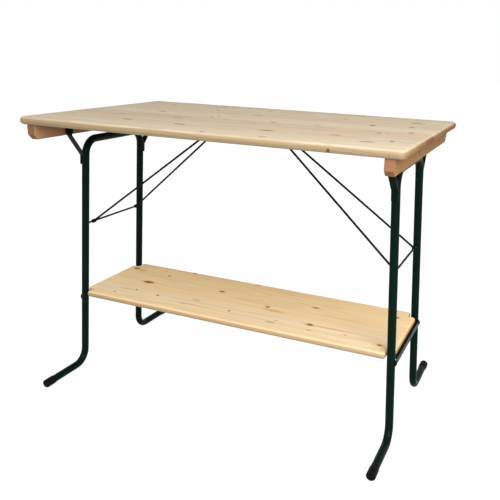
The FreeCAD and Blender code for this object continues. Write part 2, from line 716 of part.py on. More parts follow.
joints = [f"-{wide_y} - 20", f"-{tongue_y}", f"-{tongue_y} / 3"]
joints += [f"{tongue_y} / 3", tongue_y, f"{wide_y} + 20"]
sliced_boards(shelf_panel, "shelf_board", joints, "Sheet.shelf_top - Sheet.shelf_thickness",
              "Sheet.shelf_thickness")

doc.recompute()

for item in doc.Objects:
    if "Invalid" in item.State or "Error" in item.State:
        raise RuntimeError(f"{item.Label} did not compute: {item.State}")
os.makedirs("parts", exist_ok=True)
for item in pieces:
    if item.Shape.isNull() or not item.Shape.isValid() or not item.Shape.Solids:
        raise RuntimeError(f"{item.Label} has no valid solid")
    item.Shape.exportStep(os.path.join("parts", f"{item.Label}.step"))
    print(item.Label, len(item.Shape.Solids), round(item.Shape.Volume), item.Shape.BoundBox)
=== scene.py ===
import math

import bmesh
import bpy
from mathutils import Matrix, Vector


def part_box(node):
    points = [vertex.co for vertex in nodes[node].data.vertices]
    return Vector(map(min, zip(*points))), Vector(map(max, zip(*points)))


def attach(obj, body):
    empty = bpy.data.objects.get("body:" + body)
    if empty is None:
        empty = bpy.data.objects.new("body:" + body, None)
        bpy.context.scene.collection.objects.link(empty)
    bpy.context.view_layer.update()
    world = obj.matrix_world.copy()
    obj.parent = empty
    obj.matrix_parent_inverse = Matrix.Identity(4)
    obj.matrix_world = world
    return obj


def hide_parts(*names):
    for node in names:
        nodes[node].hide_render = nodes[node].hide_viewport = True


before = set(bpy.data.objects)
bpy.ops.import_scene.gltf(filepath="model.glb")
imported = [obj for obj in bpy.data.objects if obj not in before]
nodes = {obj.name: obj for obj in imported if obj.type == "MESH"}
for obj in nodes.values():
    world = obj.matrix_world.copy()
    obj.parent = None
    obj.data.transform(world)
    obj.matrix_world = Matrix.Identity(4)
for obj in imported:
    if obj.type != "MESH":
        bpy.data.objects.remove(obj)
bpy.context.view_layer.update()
scene = bpy.context.scene

# Lengths here are metres in the frame of the CAD model, and MM turns millimetres into them.
MM = 0.001

# Driving sizes of the frames, stays, cleats, clips and shelf, as in the CAD model
LEG_LEAN = math.radians(3.562)
LEG_FOOT_X = 688 * MM
LEG_FOOT_Y = 203.1 * MM
LEG_INWARD = 0.01735
TUBE_RADIUS = 15 * MM
ARM_INNER_Y = 202.65 * MM
ARM_PIVOT_Y = 279 * MM
ARM_THICKNESS = 4 * MM
ARM_LOW = 898 * MM
ARM_KINK = 935 * MM
PIVOT_UP = 1036 * MM
HINGE_GAP = 0.3 * MM
BRACKET_PLATE = 4 * MM
BRACKET_SCREW_Y = (247 * MM, 265 * MM)
ROD_UP = 646 * MM
ROD_RADIUS = 4 * MM
STAY_SHIFT = 14 * MM
STAY_EYE_Y = 152 * MM
STAY_EYE_RADIUS = 8 * MM
STAY_RADIUS = 4 * MM
STAY_END = Vector((-140 * MM, 24 * MM, 1056 * MM))
CAP_RADIUS = 17 * MM
CAP_BORE = 15.05 * MM
CAP_LENGTH = 48 * MM
CAP_ROUND = 7 * MM
FOOT_REACH = 452 * MM
BAR_PLATE = 3 * MM
BAR_GAP = 0.05 * MM
BAR_BOLT_DROP = 10.5 * MM
CLEAT_FACE_X = 645 * MM
CLEAT_MIDDLE_X = 660.5 * MM
CLEAT_SCREW_SEAT = 1021.5 * MM
CLEAT_SCREW_Y = [y * MM for y in (-386, -205, -112, 24, 162, 298, 411)]
UNDERSIDE = 1072 * MM
SHELF_UNDERSIDE = 327 * MM
SHELF_BEARING_X = 666 * MM
CLIP_SCREW_X = (-160 * MM, -126 * MM)
CLIP_PLATE = 3 * MM

# A frame's own axes: X points inboard and Z runs up along the leaning legs.
LEFT_FRAME = Matrix.Translation((-LEG_FOOT_X, 0, 0)) @ Matrix.Rotation(LEG_LEAN, 4, "Y")
HALF_TURN = Matrix.Rotation(math.pi, 4, "Z")
SIDES = {"left": Matrix(), "right": HALF_TURN}

# Which way a side lies along X, and an end along Y
HANDS = {"left": -1, "right": 1}
ENDS = {"front": -1, "back": 1}

# Turns that lay a turned piece's upright axis along another one
UP_TO_PLUS_Y = Matrix.Rotation(-math.pi / 2, 4, "X")
UP_TO_MINUS_Y = Matrix.Rotation(math.pi / 2, 4, "X")
UP_TO_PLUS_X = Matrix.Rotation(math.pi / 2, 4, "Y")
UP_TO_MINUS_X = Matrix.Rotation(-math.pi / 2, 4, "Y")

# Heights along a frame of the foot tubes' axis and of the shelf bar's bolts, and the bar's outer face
FOOT_UP = CAP_RADIUS / math.cos(LEG_LEAN)
BAR_TOP_UP = ((LEG_FOOT_X - SHELF_BEARING_X) * math.sin(LEG_LEAN)
              + (SHELF_UNDERSIDE - BAR_GAP) * math.cos(LEG_LEAN))
BAR_BOLT_UP = BAR_TOP_UP - BAR_BOLT_DROP
BAR_FACE_X = -TUBE_RADIUS - BAR_GAP - BAR_PLATE


def leg_y(height):
    """Distance of a leg's axis from the frame's middle, at a height along the frame."""
    return LEG_FOOT_Y - LEG_INWARD * height


# Materials

def linear(hex_colour):
    """Linear RGBA of an sRGB hex colour."""
    channels = [int(hex_colour[k:k + 2], 16) / 255 for k in (1, 3, 5)]
    straight = [c / 12.92 if c <= 0.04045 else ((c + 0.055) / 1.055) ** 2.4 for c in channels]
    return (*straight, 1.0)


def add(tree, kind, inputs=None, stops=(), **settings):
    """A new node with its settings, its inputs linked or set, and a ramp's (position, colour) stops."""
    node = tree.nodes.new(kind)
    for name, setting in settings.items():
        setattr(node, name, setting)
    for key, source in (inputs or {}).items():
        if isinstance(source, bpy.types.NodeSocket):
            tree.links.new(source, node.inputs[key])
        else:
            node.inputs[key].default_value = source
    for number, (position, colour) in enumerate(stops):
        elements = node.color_ramp.elements
        element = elements[number] if number < len(elements) else elements.new(position)
        element.position = position
        element.color = linear(colour)
    return node


def new_material(name):
    """An empty material and its node tree."""
    material = bpy.data.materials.new(name)
    material.use_nodes = True
    material.node_tree.nodes.clear()
    return material, material.node_tree


def place_in_mm(tree, grain_along="X"):
    """Position on the object in millimetres, turned so that the grain runs along X."""
    place = add(tree, "ShaderNodeTexCoord").outputs["Object"]
    if grain_along == "Y":
        parts = add(tree, "ShaderNodeSeparateXYZ", {0: place}).outputs
        place = add(tree, "ShaderNodeCombineXYZ", {0: parts[1], 1: parts[0], 2: parts[2]}).outputs[0]
    return add(tree, "ShaderNodeVectorMath", {0: place, "Scale": 1 / MM}, operation="SCALE").outputs[0]


def counted_in(tree, place, size):
    """The same position counted in patches of the given size in millimetres along X, Y and Z."""
    rate = [1 / length if length else 0 for length in size]
    return add(tree, "ShaderNodeVectorMath", {0: place, 1: rate}, operation="MULTIPLY").outputs[0]


def wandering(tree, place, patch, reach):
    """The position shifted to and fro by about the reach in millimetres, patch by patch."""
    noise = add(tree, "ShaderNodeTexNoise",
                {"Vector": counted_in(tree, place, patch), "Scale": 1.0, "Detail": 1.0}).outputs["Color"]
    middle = (0.5, 0.5, 0.5)
    shift = add(tree, "ShaderNodeVectorMath", {0: noise, 1: middle}, operation="SUBTRACT").outputs[0]
    return add(tree, "ShaderNodeVectorMath", {0: shift, 1: reach, 2: place},
               operation="MULTIPLY_ADD").outputs[0]


def nearest_spot(tree, place, spots):
    """Distance to the nearest of some oval spots, 1 on a spot's rim, or nothing where there are none.

    A spot is (x, y, length, width) in millimetres and goes right through the board, or it is
    (x, y, length, width, z, depth) and doesn't.
    """
    nearest = None
    for x, y, length, width, *level in spots:
        z, depth = level if level else (0, 0)
        offset = add(tree, "ShaderNodeVectorMath", {0: place, 1: (x, y, z)}, operation="SUBTRACT").outputs[0]
        oval = counted_in(tree, offset, (length / 2, width / 2, depth / 2))
        reach = add(tree, "ShaderNodeVectorMath", {0: oval}, operation="LENGTH").outputs["Value"]
        if nearest is None:
            nearest = reach
        else:
            nearest = add(tree, "ShaderNodeMath", {0: nearest, 1: reach}, operation="MINIMUM").outputs[0]
    return nearest


# Sizes of the wood's pattern in millimetres: along the grain, across it and through the board
SWAY_PATCH, SWAY_REACH = (420, 160, 160), (30, 30, 30)
RAGGED_PATCH, RAGGED_REACH = (24, 7, 7), (14, 8, 8)
BAND_PATCH = (900, 22, 22)
FIBRE_PATCH = (90, 1.5, 1.5)

# Widths of the year rings, and how far a knot pushes them aside, in millimetres
SPRUCE_RING = 9.0
BEECH_RING = 6.0
KNOT_SWIRL = 8.0

# Where in a year ring the pale spring wood ends and where the summer wood is darkest
SPRING_END = 0.35
SUMMER_PEAK = 0.88

# Where the tones of a mark lie: its middle, its rim and the rings between
SPIKE_STOPS = (0.0, 1.0, 0.5, 0.8)
KNOT_STOPS = (0.0, 1.0, 0.3, 0.6, 0.85)


def planed_wood(name, pale, dark, end_tint, heart, knots=(), spikes=(), streaks=(), tones=None,
                grain_along="X", ring_width=SPRUCE_RING, painted_edge_shade="#FFFFFF", lacquer=0.0):
    """Wood sawn, planed and sanded: spruce boards clear lacquered, beech cleats only oiled.

    Year rings are tubes about the heart of the tree, whose place across the grain and height are given,
    so that a board shows long flames on its faces and arcs on its end grain. They are drawn three times as
    wide as real ones, because rings of 2 or 3 mm don't show from where the whole table is seen. The
    lacquer gives the boards a soft sheen, and the oil leaves the cleats matt.
    """
    material, tree = new_material(name)
    place = place_in_mm(tree, grain_along)
    swayed = wandering(tree, place, SWAY_PATCH, SWAY_REACH)
    ragged = wandering(tree, place, RAGGED_PATCH, RAGGED_REACH)
    offset = add(tree, "ShaderNodeVectorMath", {0: swayed, 1: (0, *heart)}, operation="SUBTRACT").outputs[0]
    across = add(tree, "ShaderNodeVectorMath", {0: offset, 1: (0, 1, 1)}, operation="MULTIPLY").outputs[0]
    radius = add(tree, "ShaderNodeVectorMath", {0: across}, operation="LENGTH").outputs["Value"]
    knot = nearest_spot(tree, ragged, knots)
    if knots:
        # The rings part around a knot.
        swirl = add(tree, "ShaderNodeMapRange",
                    {"Value": knot, "From Min": 0.5, "From Max": 5.0, "To Min": KNOT_SWIRL, "To Max": 0.0},
                    interpolation_type="SMOOTHSTEP").outputs[0]
        radius = add(tree, "ShaderNodeMath", {0: radius, 1: swirl}, operation="ADD").outputs[0]
    turns = add(tree, "ShaderNodeMath", {0: radius, 1: ring_width}, operation="DIVIDE").outputs[0]
    ring = add(tree, "ShaderNodeMath", {0: turns}, operation="FRACT").outputs[0]
    ring_tones = [(0.0, pale), (1.0, pale), (SPRING_END, pale), (SUMMER_PEAK, dark)]
    colour = add(tree, "ShaderNodeValToRGB", {0: ring}, stops=ring_tones).outputs["Color"]

    # Broad bands of sap and heart wood, and bundles of fibres, drawn coarser than real ones to show
    band = add(tree, "ShaderNodeTexNoise",
               {"Vector": counted_in(tree, place, BAND_PATCH), "Scale": 1.0, "Detail": 3.0}).outputs["Fac"]
    fibre = add(tree, "ShaderNodeTexNoise",
                {"Vector": counted_in(tree, place, FIBRE_PATCH), "Scale": 1.0, "Detail": 2.0}).outputs["Fac"]
    bands = add(tree, "ShaderNodeMapRange",
                {"Value": band, "From Min": 0.3, "From Max": 0.7, "To Min": 0.94, "To Max": 1.04}).outputs[0]
    fibres = add(tree, "ShaderNodeMapRange",
                 {"Value": fibre, "From Min": 0.3, "From Max": 0.7, "To Min": 0.95, "To Max": 1.03}).outputs[0]
    shade = add(tree, "ShaderNodeMath", {0: bands, 1: fibres}, operation="MULTIPLY").outputs[0]
    colour = add(tree, "ShaderNodeVectorMath", {0: colour, "Scale": shade}, operation="SCALE").outputs[0]

    # Sides and rounded edges that don't face up get a painted shade, darker and warmer than the broad faces,
    # and end grain drinks the finish.
    face = add(tree, "ShaderNodeSeparateXYZ", {0: add(tree, "ShaderNodeTexCoord").outputs["Normal"]}).outputs
    for axis, low, high, tint in ((face[2], 0.85, 0.3, painted_edge_shade),
                                  (face["XYZ".index(grain_along)], 0.5, 0.9, end_tint)):
        facing = add(tree, "ShaderNodeMath", {0: axis}, operation="ABSOLUTE").outputs[0]
        share = add(tree, "ShaderNodeMapRange", {"Value": facing, "From Min": low, "From Max": high},
                    interpolation_type="SMOOTHSTEP").outputs[0]
        colour = add(tree, "ShaderNodeMixRGB", {"Fac": share, "Color1": colour, "Color2": linear(tint)},
                     blend_type="MULTIPLY").outputs[0]

    if streaks:
        # Resin streaks fade out softly along and across the grain.
        streak = nearest_spot(tree, swayed, streaks)
        fade = add(tree, "ShaderNodeMapRange",
                   {"Value": streak, "From Min": 0.1, "From Max": 1.3, "To Min": 0.7, "To Max": 0.0},
                   interpolation_type="SMOOTHSTEP").outputs[0]
        colour = add(tree, "ShaderNodeMixRGB",
                     {"Fac": fade, "Color1": colour, "Color2": linear(tones["streak"])}).outputs[0]
    if spikes:
        # A branch cut lengthwise is a long brown lens, streaked by the fibres.
        spike = nearest_spot(tree, ragged, spikes)
        body = add(tree, "ShaderNodeMapRange",
                   {"Value": spike, "From Min": 0.6, "From Max": 1.2, "To Min": 1.0, "To Max": 0.0},
                   interpolation_type="SMOOTHSTEP").outputs[0]
        streaked = add(tree, "ShaderNodeMapRange",
                       {"Value": fibre, "From Min": 0.3, "From Max": 0.65, "To Min": 1.0,
                        "To Max": 0.6}).outputs[0]
        fade = add(tree, "ShaderNodeMath", {0: body, 1: streaked}, operation="MULTIPLY").outputs[0]
        lens = add(tree, "ShaderNodeValToRGB", {0: spike},
                   stops=zip(SPIKE_STOPS, tones["spike"])).outputs["Color"]
        colour = add(tree, "ShaderNodeMixRGB", {"Fac": fade, "Color1": colour, "Color2": lens}).outputs[0]
    if knots:
        # A knot is brown with a dark eye and rim, in wood that is stained around it.
        stain = add(tree, "ShaderNodeMapRange",
                    {"Value": knot, "From Min": 0.9, "From Max": 2.1, "To Min": 0.4, "To Max": 0.0}).outputs[0]
        colour = add(tree, "ShaderNodeMixRGB",
                     {"Fac": stain, "Color1": colour, "Color2": linear(tones["stain"])}).outputs[0]
        eye = add(tree, "ShaderNodeValToRGB", {0: knot},
                  stops=zip(KNOT_STOPS, tones["knot"])).outputs["Color"]
        inside = add(tree, "ShaderNodeMapRange",
                     {"Value": knot, "From Min": 0.85, "From Max": 1.15, "To Min": 0.92,
                      "To Max": 0.0}).outputs[0]
        colour = add(tree, "ShaderNodeMixRGB", {"Fac": inside, "Color1": colour, "Color2": eye}).outputs[0]

    relief = add(tree, "ShaderNodeMath", {0: fibre, 1: ring}, operation="ADD").outputs[0]
    bump = add(tree, "ShaderNodeBump", {"Strength": 0.10, "Distance": 0.2 * MM, "Height": relief}).outputs[0]
    rough = add(tree, "ShaderNodeMapRange", {"Value": band, "To Min": 0.52, "To Max": 0.68}).outputs[0]
    shader = add(tree, "ShaderNodeBsdfPrincipled",
                 {"Base Color": colour, "Roughness": rough, "IOR": 1.5, "Specular IOR Level": 0.04,
                  "Coat Weight": lacquer, "Coat Roughness": 0.2, "Normal": bump}).outputs[0]
    add(tree, "ShaderNodeOutputMaterial", {"Surface": shader})
    return material


# Sizes of the patterns on steel and plastic in millimetres, alike in all directions
PEEL_PATCH = (2.5, 2.5, 2.5)
CLOUD_PATCH = (70, 70, 70)
MOULD_GRAIN_PATCH = (0.8, 0.8, 0.8)
SCUFF_PATCH = (9, 9, 9)
MOTTLE_PATCH = (5, 5, 5)


def powder_coat(name, deep, bright, roughness):
    """Polyester powder baked on steel: satin, with the faint orange peel that the melt leaves.

    Cut plate edges look rounded, because the melt draws back from them.
    """
    material, tree = new_material(name)
    place = place_in_mm(tree)
    peel = add(tree, "ShaderNodeTexNoise",
               {"Vector": counted_in(tree, place, PEEL_PATCH), "Scale": 1.0, "Detail": 1.0}).outputs["Fac"]
    cloud = add(tree, "ShaderNodeTexNoise",
                {"Vector": counted_in(tree, place, CLOUD_PATCH), "Scale": 1.0, "Detail": 3.0}).outputs["Fac"]
    colour = add(tree, "ShaderNodeMixRGB",
                 {"Fac": cloud, "Color1": linear(deep), "Color2": linear(bright)}).outputs[0]
    rounded = add(tree, "ShaderNodeBevel", {"Radius": 0.8 * MM}, samples=4).outputs[0]
    bump = add(tree, "ShaderNodeBump",
               {"Strength": 0.12, "Distance": 0.15 * MM, "Height": peel, "Normal": rounded}).outputs[0]
    rough = add(tree, "ShaderNodeMapRange",
                {"Value": cloud, "To Min": roughness - 0.05, "To Max": roughness + 0.07}).outputs[0]
    shader = add(tree, "ShaderNodeBsdfPrincipled",
                 {"Base Color": colour, "Roughness": rough, "IOR": 1.5, "Specular IOR Level": 0.03,
                  "Coat Weight": 0.03, "Coat Roughness": 0.16, "Normal": bump}).outputs[0]
    add(tree, "ShaderNodeOutputMaterial", {"Surface": shader})
    return material


def moulded_plastic(name, deep, scuffed):
    """Polyethylene moulded in a spark-eroded tool: matt black with a fine grain and paler scuffs.

    The grain is drawn twice as wide as the real one, to show.
    """
    material, tree = new_material(name)
    place = place_in_mm(tree)
    grain = add(tree, "ShaderNodeTexNoise",
                {"Vector": counted_in(tree, place, MOULD_GRAIN_PATCH), "Scale": 1.0,
                 "Detail": 2.0}).outputs["Fac"]
    scuff = add(tree, "ShaderNodeTexNoise",
                {"Vector": counted_in(tree, place, SCUFF_PATCH), "Scale": 1.0, "Detail": 4.0}).outputs["Fac"]
    worn = add(tree, "ShaderNodeMapRange", {"Value": scuff, "From Min": 0.5, "From Max": 0.75}).outputs[0]
    colour = add(tree, "ShaderNodeMixRGB",
                 {"Fac": worn, "Color1": linear(deep), "Color2": linear(scuffed)}).outputs[0]
    bump = add(tree, "ShaderNodeBump", {"Strength": 0.25, "Distance": 0.1 * MM, "Height": grain}).outputs[0]
    rough = add(tree, "ShaderNodeMapRange", {"Value": scuff, "To Min": 0.45, "To Max": 0.65}).outputs[0]
    shader = add(tree, "ShaderNodeBsdfPrincipled",
                 {"Base Color": colour, "Roughness": rough, "IOR": 1.51, "Specular IOR Level": 0.05,
                  "Normal": bump}).outputs[0]
    add(tree, "ShaderNodeOutputMaterial", {"Surface": shader})
    return material


def blackened_steel(name, deep, bright):
    """Steel blackened in hot salts and oiled: dark metal with a mottled sheen and broken edges."""
    material, tree = new_material(name)
    place = place_in_mm(tree)
    mottle = add(tree, "ShaderNodeTexNoise",
                 {"Vector": counted_in(tree, place, MOTTLE_PATCH), "Scale": 1.0, "Detail": 4.0}).outputs["Fac"]
    colour = add(tree, "ShaderNodeMixRGB",
                 {"Fac": mottle, "Color1": linear(deep), "Color2": linear(bright)}).outputs[0]
    rough = add(tree, "ShaderNodeMapRange", {"Value": mottle, "To Min": 0.3, "To Max": 0.55}).outputs[0]
    rounded = add(tree, "ShaderNodeBevel", {"Radius": 0.4 * MM}, samples=4).outputs[0]
    bump = add(tree, "ShaderNodeBump",
               {"Strength": 0.1, "Distance": 0.05 * MM, "Height": mottle, "Normal": rounded}).outputs[0]
    shader = add(tree, "ShaderNodeBsdfPrincipled",
                 {"Base Color": colour, "Roughness": rough, "Metallic": 1.0, "Normal": bump}).outputs[0]
    add(tree, "ShaderNodeOutputMaterial", {"Surface": shader})
    return material


def paint(node, material):
    """Give a carried-over CAD node its finished material."""
    slots = nodes[node].data.materials
    slots.clear()
    slots.append(material)


# Marks in the wood: (x, y, length along the grain, width) in millimetres, with (z, depth)
# behind them where a mark doesn't go right through
TOP_KNOTS = [
    (-409, 43, 18, 20), (-150, -20, 16, 17), (-135, 20, 15, 17), (120, -40, 18, 20), (460, 97, 20, 26),
    (540, -115, 16, 17), (627, -286, 16, 18), (632, -40, 18, 22), (40, -430, 13, 14), (-635, -235, 13, 14),
    (-520, 310, 17, 19), (-60, 335, 16, 18), (310, 250, 17, 18), (-250, 220, 13, 15), (600, 125, 18, 22),
    (478, -455, 13, 30, 1081, 13),
]
TOP_SPIKES = [
    (-350, -285, 50, 20), (-124, -300, 52, 21), (-230, -135, 46, 18), (200, -276, 66, 23),
    (430, -246, 48, 18), (560, -338, 58, 22), (592, 270, 60, 30), (255, -430, 30, 14), (-30, 150, 50, 18),
    (330, 395, 46, 18), (-310, 400, 44, 16), (288, -23, 40, 16), (-480, -140, 40, 16),
]
TOP_STREAKS = [(-460, -245, 260, 10), (20, -320, 340, 9), (330, -150, 280, 10), (-250, 30, 300, 9)]
SHELF_KNOTS = [
    (-633, 134, 28, 20), (-441, 112, 15, 12), (-479, 2, 48, 24), (-542, -159, 10, 8), (-470, -99, 11, 9),
    (-355, -112, 11, 9), (-356, 199, 20, 14), (-138, 53, 26, 14), (-31, 199, 15, 11), (-13, -123, 13, 9),
    (107, -13, 17, 13), (286, 69, 28, 12), (323, -99, 26, 18), (476, -126, 10, 8), (610, -152, 17, 11),
    (610, 126, 18, 15),
]
SHELF_SPIKES = [(178, -148, 46, 12), (338, -148, 22, 9), (194, -123, 24, 8), (-183, -83, 50, 7)]
SHELF_STREAKS = [
    (-175, -133, 140, 9), (-510, -104, 110, 9), (150, -42, 120, 20), (410, -100, 200, 14),
    (-600, 120, 70, 24), (230, 85, 120, 8), (-219, -141, 40, 12),
]

# Each board comes from another tree: pale tone, dark tone, a tint of its end grain in the top, and the
# heart's (y, z) in millimetres.
TOP_BOARDS = {
    "top_board_1": ("#D6C5AA", "#CAB696", "#EAD6B9", (-400, 1010)),
    "top_board_2": ("#D2BFA5", "#C6B08E", "#DEC3A1", (-262, 1180)),
    "top_board_3": ("#D1BBA0", "#C4A78A", "#CF9D80", (-95, 1000)),
    "top_board_4": ("#D7C7AC", "#CBB898", "#D9BB99", (40, 1170)),
    "top_board_5": ("#D3C0A6", "#C7B18F", "#D0AE8D", (150, 1020)),
    "top_board_6": ("#D5C4A9", "#C9B392", "#D6B794", (310, 1190)),
    "top_board_7": ("#D1BDA1", "#C4AC8A", "#CCAA8C", (420, 1005)),
}
# The shelf's tones are brighter than the wood's own: painted light that makes up for the shade under the top,
# strongest on the boards further back.
SHELF_BOARDS_WITH_PAINTED_LIGHT = {
    "shelf_board_1": ("#F8DDB0", "#F3D4A4", (-200, 420)),
    "shelf_board_2": ("#FAE1B6", "#F6D8AA", (-120, 250)),
    "shelf_board_3": ("#FDDEAB", "#F8D5A0", (15, 440)),
    "shelf_board_4": ("#FEDFAA", "#FAD7A0", (100, 240)),
    "shelf_board_5": ("#FDDDA7", "#F8D59C", (205, 430)),
}

# Tones of the marks, those of a knot or spike in the order of its stops
TOP_TONES = {
    "streak": "#B4895C",
    "stain": "#C6A67B",
    "spike": ("#6A4930", "#9A7753", "#86633F", "#6A492C"),
    "knot": ("#4A2F1C", "#86633F", "#664729", "#947048", "#64472C"),
}
SHELF_TONES = {
    "streak": "#DA9C50",
    "stain": "#DC9A4E",
    "spike": ("#B9803E", "#DBA966", "#CE9850", "#B47C3A"),
    "knot": ("#52280A", "#A96A24", "#80440F", "#BE772A", "#844A12"),
}
# Painted shade for the sides and rounded edges of top and shelf, which get less light than the faces
TOP_PAINTED_EDGE_SHADE = "#D4C9B9"
SHELF_PAINTED_EDGE_SHADE = "#D2CAC6"
SHELF_END_TINT = "#F6E4D2"
LACQUER_COAT = 0.03

# A cleat's grain runs along Y, so its marks count y before x, and its heart is (x, z).
CLEAT_KNOTS = [(-94, 676, 24, 40, 1046, 22)]
CLEATS = {
    "left_cleat": ("#B8916D", "#A67858", "#D6CBCB", (-640, 980), ()),
    "right_cleat": ("#B28857", "#A07247", "#EAE0F4", (690, 970), CLEAT_KNOTS),
}


def marks_on(node, marks):
    """The marks that reach a board, judged by the board's own box."""
    low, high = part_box(node)
    reaching = []
    for mark in marks:
        y, width = mark[1], mark[3]
        if low.y / MM - width < y < high.y / MM + width:
            reaching.append(mark)
    return reaching


for board, (pale, dark, end_tint, heart) in TOP_BOARDS.items():
    marks = [marks_on(board, kind) for kind in (TOP_KNOTS, TOP_SPIKES, TOP_STREAKS)]
    paint(board, planed_wood(f"lacquered_spruce_{board}", pale, dark, end_tint, heart, *marks, TOP_TONES,
                             painted_edge_shade=TOP_PAINTED_EDGE_SHADE, lacquer=LACQUER_COAT))
for board, (pale, dark, heart) in SHELF_BOARDS_WITH_PAINTED_LIGHT.items():
    marks = [marks_on(board, kind) for kind in (SHELF_KNOTS, SHELF_SPIKES, SHELF_STREAKS)]
    paint(board, planed_wood(f"lacquered_spruce_{board}", pale, dark, SHELF_END_TINT, heart, *marks,
                             SHELF_TONES, painted_edge_shade=SHELF_PAINTED_EDGE_SHADE, lacquer=LACQUER_COAT))
for cleat, (pale, dark, end_tint, heart, knots) in CLEATS.items():
    paint(cleat, planed_wood(f"oiled_beech_{cleat}", pale, dark, end_tint, heart, knots, tones=TOP_TONES,
                             grain_along="Y", ring_width=BEECH_RING))

green_coat = powder_coat("green_powder_coat", "#02150E", "#051E15", 0.32)
wire_coat = powder_coat("green_powder_coat_on_wire", "#040B08", "#07120D", 0.40)
black_cap = moulded_plastic("moulded_black_polyethylene", "#0B0A0A", "#1B1919")
black_steel = blackened_steel("hot_blackened_steel", "#141312", "#2A2826")

for side in SIDES:
    for end in ENDS:
        paint(f"{side}_{end}_bracket", green_coat)
        paint(f"{side}_{end}_arm", green_coat)
        paint(f"{side}_{end}_cap", black_cap)
    for piece in ("leg_tube", "shelf_bar"):
        paint(f"{side}_{piece}", green_coat)
    for piece in ("stay_rod", "stay"):
        paint(f"{side}_{piece}", wire_coat)
    for piece in ("stay_clip", "shelf_bolts"):
        paint(f"{side}_{piece}", black_steel)
for piece in ("cleat_screws", "bracket_screws", "clip_screws", "hinge_bolts", "hinge_nuts"):
    paint(piece, black_steel)


# Turned and welded pieces

def add_rings(bm, rings):
    """Skin a row of vertex rings and close both ends."""
    for low, high in zip(rings, rings[1:]):
        for k in range(len(low)):
            after = (k + 1) % len(low)
            bm.faces.new((low[k], low[after], high[after], high[k]))
    bm.faces.new(reversed(rings[0]))
    bm.faces.new(rings[-1])


def turn_profile(bm, place, profile, segments=48):
    """Turn a profile about the Z axis of a place.

    The profile is a function of the angle that gives (radius, height) points, so that hexagons and cross
    recesses can be turned too.
    """
    angles = [2 * math.pi * k / segments for k in range(segments)]
    sections = [profile(angle) for angle in angles]
    rings = []
    for row in range(len(sections[0])):
        ring = []
        for angle, section in zip(angles, sections):
            radius, height = section[row]
            spot = Vector((radius * math.cos(angle), radius * math.sin(angle), height))
            ring.append(bm.verts.new(place @ spot))
        rings.append(ring)
    add_rings(bm, rings)


# Faces that meet at a sharper turn than this keep a crisp edge.
SHARP_EDGE = math.radians(38)


def finished_piece(name, bm, material, body):
    """Make a named piece of a mesh in work. It rides on a CAD body and takes its finish from a slot."""
    bmesh.ops.recalc_face_normals(bm, faces=bm.faces)
    mesh = bpy.data.meshes.new(name)
    bm.to_mesh(mesh)
    bm.free()
    mesh.shade_smooth()
    mesh.set_sharp_from_angle(angle=SHARP_EDGE)
    mesh.materials.append(material)
    piece = bpy.data.objects.new(name, mesh)
    scene.collection.objects.link(piece)
    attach(piece, body)
    return piece


def arc_points(centre, radius, start, end, steps):
    """(radius, height) points of a rounded corner, from one angle in degrees to another."""
    turns = [math.radians(start + (end - start) * k / steps) for k in range(steps + 1)]
    return [(centre[0] + radius * math.cos(turn), centre[1] + radius * math.sin(turn)) for turn in turns]


def cap_profile(angle):
    """A push-on cap: a bead round the mouth, a groove behind it and a well rounded end."""
    end_wall = 4 * MM
    mouth_wide, mouth_deep = 0.3 * MM, 0.6 * MM
    lip = 1.6 * MM
    groove = CAP_RADIUS - 0.7 * MM
    groove_start, groove_stop = 4.2 * MM, 5.6 * MM
    shoulder = (CAP_RADIUS - 0.15 * MM, 6.4 * MM)
    nose = CAP_LENGTH - CAP_ROUND
    wall_start, wall_stop = 12 * MM, nose - 6 * MM
    gate_rim, gate_floor, gate_depth = 3 * MM, 2.2 * MM, 0.5 * MM
    points = [(CAP_BORE, CAP_LENGTH - end_wall), (CAP_BORE, mouth_deep), (CAP_BORE + mouth_wide, 0)]
    points += arc_points((CAP_RADIUS - lip, lip), lip, start=-70, end=45, steps=6)
    points += [(groove, groove_start), (groove, groove_stop), shoulder]
    points += [(CAP_RADIUS, wall_start), (CAP_RADIUS, wall_stop)]
    points += arc_points((CAP_RADIUS - CAP_ROUND, nose), CAP_ROUND, start=0, end=85, steps=10)
    points += [(gate_rim, CAP_LENGTH), (gate_floor, CAP_LENGTH - gate_depth)]
    return points


# Sizes of the bolts, nuts and screws
BOLT_RADIUS = 4 * MM
THREAD_PITCH = 1.25 * MM
THREAD_DEPTH = 0.6 * MM
FLAT_TO_FLAT = 13 * MM
HEAD_HEIGHT = 5.3 * MM
NUT_HEIGHT = 6.5 * MM
DOME_RADIUS = 7.5 * MM
DOME_HEIGHT = 4 * MM
DOME_BOLT_LENGTH = 16 * MM
HINGE_BOLT_LENGTH = 17 * MM
BRACKET_SCREW_LENGTH = 18 * MM
CLEAT_SCREW_LENGTH = 61 * MM
CLIP_SCREW_LENGTH = 15 * MM
SCREW_SEGMENTS = 32


def hexagon_reach(angle):
    """Distance from a hexagon's middle to its side."""
    sixth = math.pi / 3
    return FLAT_TO_FLAT / 2 / math.cos(angle % sixth - sixth / 2)


def chamfered(reach, height, outward):
    """Edge points of a hexagon's face whose corners are turned off at 30 degrees."""
    crown = 0.46 * FLAT_TO_FLAT
    drop = (reach - crown) * math.tan(math.radians(30))
    return [(reach, height - outward * drop), (crown, height)]


